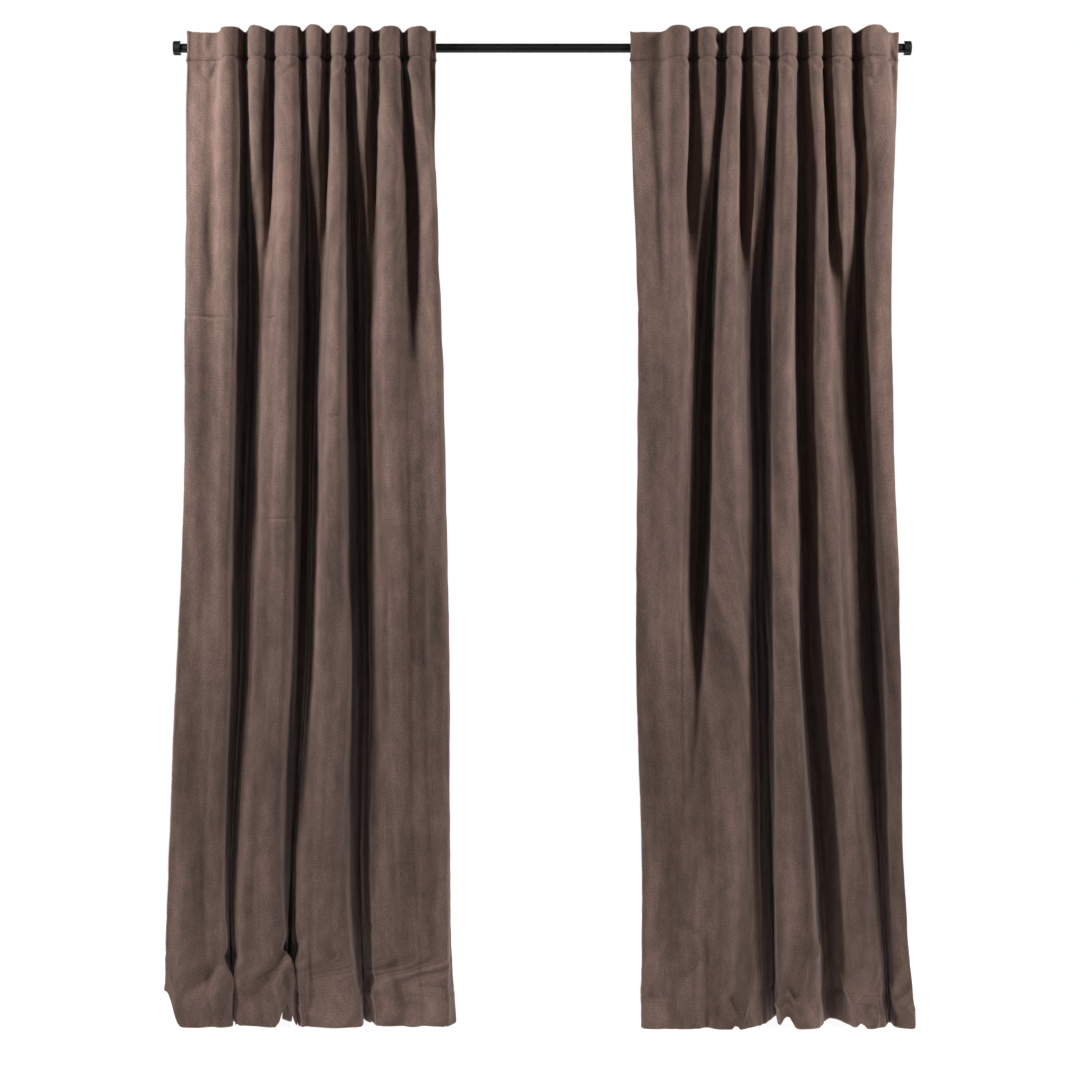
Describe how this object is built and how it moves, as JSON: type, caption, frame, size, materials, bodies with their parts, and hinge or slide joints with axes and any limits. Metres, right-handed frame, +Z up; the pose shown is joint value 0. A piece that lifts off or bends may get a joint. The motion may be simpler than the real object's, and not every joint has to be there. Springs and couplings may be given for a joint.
{
  "type": "fabric room curtain panel",
  "caption": "Pair of lined velvet curtain panels hung by back tabs on a black metal rod with wall brackets; both panels draw along the rod.",
  "frame": {"origin": "on the wall plane, midway between the two brackets, level with the rod's axis", "axes": "+Z up, +Y into the wall, -Y into the room, +X to the right seen from the room; the rod lies along X"},
  "size_m": [1.8346, 0.193, 2.415],
  "materials": {
    "taupe_velvet": "short dense cut pile, soft sheen, brown-mauve",
    "dark_lining": "plain fine weave, matte, near black",
    "black_satin_metal": "satin black powder coat",
    "zinc_screw": "bright zinc"
  },
  "bodies": {
    "rod_and_brackets": {"rod_tube": "black_satin_metal", "bracket_left_plate": "black_satin_metal", "bracket_left_arm": "black_satin_metal", "bracket_left_cup": "black_satin_metal", "bracket_left_upper_screw": "zinc_screw", "bracket_left_lower_screw": "zinc_screw", "left_tab_0": "taupe_velvet", "bracket_right_plate": "black_satin_metal", "bracket_right_arm": "black_satin_metal", "bracket_right_cup": "black_satin_metal", "bracket_right_upper_screw": "zinc_screw", "bracket_right_lower_screw": "zinc_screw", "right_tab_0": "taupe_velvet"},
    "left_leading_edge": {"left_face_panel": "taupe_velvet", "left_heading_facing": "taupe_velvet", "left_hem_facing": "taupe_velvet", "left_left_turning": "taupe_velvet", "left_right_turning": "taupe_velvet", "left_lining": "dark_lining", "left_tab_8": "taupe_velvet"},
    "left_tab_1_loop": {"left_tab_1": "taupe_velvet"},
    "left_tab_2_loop": {"left_tab_2": "taupe_velvet"},
    "left_tab_3_loop": {"left_tab_3": "taupe_velvet"},
    "left_tab_4_loop": {"left_tab_4": "taupe_velvet"},
    "left_tab_5_loop": {"left_tab_5": "taupe_velvet"},
    "left_tab_6_loop": {"left_tab_6": "taupe_velvet"},
    "left_tab_7_loop": {"left_tab_7": "taupe_velvet"},
    "left_end_cap": {"end_cap_left": "black_satin_metal"},
    "left_thumbscrew": {"bracket_left_thumbscrew": "black_satin_metal"},
    "right_leading_edge": {"right_face_panel": "taupe_velvet", "right_heading_facing": "taupe_velvet", "right_hem_facing": "taupe_velvet", "right_left_turning": "taupe_velvet", "right_right_turning": "taupe_velvet", "right_lining": "dark_lining", "right_tab_8": "taupe_velvet"},
    "right_tab_1_loop": {"right_tab_1": "taupe_velvet"},
    "right_tab_2_loop": {"right_tab_2": "taupe_velvet"},
    "right_tab_3_loop": {"right_tab_3": "taupe_velvet"},
    "right_tab_4_loop": {"right_tab_4": "taupe_velvet"},
    "right_tab_5_loop": {"right_tab_5": "taupe_velvet"},
    "right_tab_6_loop": {"right_tab_6": "taupe_velvet"},
    "right_tab_7_loop": {"right_tab_7": "taupe_velvet"},
    "right_end_cap": {"end_cap_right": "black_satin_metal"},
    "right_thumbscrew": {"bracket_right_thumbscrew": "black_satin_metal"}
  },
  "joints": [
    {"name": "left_draw", "type": "slide", "parent": "rod_and_brackets", "child": "left_leading_edge", "axis": [1, 0, 0], "range_m": [-0.11, 0.225], "deforming": ["left_face_panel", "left_heading_facing", "left_hem_facing", "left_left_turning", "left_right_turning", "left_lining"]},
    {"name": "left_tab_1_slide", "type": "slide", "parent": "rod_and_brackets", "child": "left_tab_1_loop", "axis": [1, 0, 0], "range_m": [-0.0096, 0.019]},
    {"name": "left_tab_2_slide", "type": "slide", "parent": "rod_and_brackets", "child": "left_tab_2_loop", "axis": [1, 0, 0], "range_m": [-0.0247, 0.0501]},
    {"name": "left_tab_3_slide", "type": "slide", "parent": "rod_and_brackets", "child": "left_tab_3_loop", "axis": [1, 0, 0], "range_m": [-0.0455, 0.0926]},
    {"name": "left_tab_4_slide", "type": "slide", "parent": "rod_and_brackets", "child": "left_tab_4_loop", "axis": [1, 0, 0], "range_m": [-0.0637, 0.1298]},
    {"name": "left_tab_5_slide", "type": "slide", "parent": "rod_and_brackets", "child": "left_tab_5_loop", "axis": [1, 0, 0], "range_m": [-0.0784, 0.1599]},
    {"name": "left_tab_6_slide", "type": "slide", "parent": "rod_and_brackets", "child": "left_tab_6_loop", "axis": [1, 0, 0], "range_m": [-0.0935, 0.1907]},
    {"name": "left_tab_7_slide", "type": "slide", "parent": "rod_and_brackets", "child": "left_tab_7_loop", "axis": [1, 0, 0], "range_m": [-0.1064, 0.2171]},
    {"name": "left_cap_pull", "type": "slide", "parent": "rod_and_brackets", "child": "left_end_cap", "axis": [-1, 0, 0], "range_m": [0, 0.04]},
    {"name": "left_thumbscrew_turn", "type": "hinge", "parent": "rod_and_brackets", "child": "left_thumbscrew", "pos_m": [-0.7945, -0.09, -0.0184], "axis": [0, 0, -1], "range_deg": [0, 360]},
    {"name": "right_draw", "type": "slide", "parent": "rod_and_brackets", "child": "right_leading_edge", "axis": [-1, 0, 0], "range_m": [-0.11, 0.225], "deforming": ["right_face_panel", "right_heading_facing", "right_hem_facing", "right_left_turning", "right_right_turning", "right_lining"]},
    {"name": "right_tab_1_slide", "type": "slide", "parent": "rod_and_brackets", "child": "right_tab_1_loop", "axis": [-1, 0, 0], "range_m": [-0.0065, 0.0128]},
    {"name": "right_tab_2_slide", "type": "slide", "parent": "rod_and_brackets", "child": "right_tab_2_loop", "axis": [-1, 0, 0], "range_m": [-0.0216, 0.0437]},
    {"name": "right_tab_3_slide", "type": "slide", "parent": "rod_and_brackets", "child": "right_tab_3_loop", "axis": [-1, 0, 0], "range_m": [-0.0342, 0.0695]},
    {"name": "right_tab_4_slide", "type": "slide", "parent": "rod_and_brackets", "child": "right_tab_4_loop", "axis": [-1, 0, 0], "range_m": [-0.0514, 0.1045]},
    {"name": "right_tab_5_slide", "type": "slide", "parent": "rod_and_brackets", "child": "right_tab_5_loop", "axis": [-1, 0, 0], "range_m": [-0.071, 0.1447]},
    {"name": "right_tab_6_slide", "type": "slide", "parent": "rod_and_brackets", "child": "right_tab_6_loop", "axis": [-1, 0, 0], "range_m": [-0.0849, 0.1731]},
    {"name": "right_tab_7_slide", "type": "slide", "parent": "rod_and_brackets", "child": "right_tab_7_loop", "axis": [-1, 0, 0], "range_m": [-0.1003, 0.2047]},
    {"name": "right_cap_pull", "type": "slide", "parent": "rod_and_brackets", "child": "right_end_cap", "axis": [1, 0, 0], "range_m": [0, 0.04]},
    {"name": "right_thumbscrew_turn", "type": "hinge", "parent": "rod_and_brackets", "child": "right_thumbscrew", "pos_m": [0.7945, -0.09, -0.0184], "axis": [0, 0, -1], "range_deg": [0, 360]}
  ],
  "couplings": [
    {"joint": "left_tab_1_slide", "follows": "left_draw", "ratio": 0.08232},
    {"joint": "left_tab_2_slide", "follows": "left_draw", "ratio": 0.22029},
    {"joint": "left_tab_3_slide", "follows": "left_draw", "ratio": 0.40927},
    {"joint": "left_tab_4_slide", "follows": "left_draw", "ratio": 0.57451},
    {"joint": "left_tab_5_slide", "follows": "left_draw", "ratio": 0.70856},
    {"joint": "left_tab_6_slide", "follows": "left_draw", "ratio": 0.84529},
    {"joint": "left_tab_7_slide", "follows": "left_draw", "ratio": 0.96269},
    {"joint": "right_tab_1_slide", "follows": "right_draw", "ratio": 0.05471},
    {"joint": "right_tab_2_slide", "follows": "right_draw", "ratio": 0.19198},
    {"joint": "right_tab_3_slide", "follows": "right_draw", "ratio": 0.30647},
    {"joint": "right_tab_4_slide", "follows": "right_draw", "ratio": 0.46237},
    {"joint": "right_tab_5_slide", "follows": "right_draw", "ratio": 0.64075},
    {"joint": "right_tab_6_slide", "follows": "right_draw", "ratio": 0.76701},
    {"joint": "right_tab_7_slide", "follows": "right_draw", "ratio": 0.90747}
  ]
}
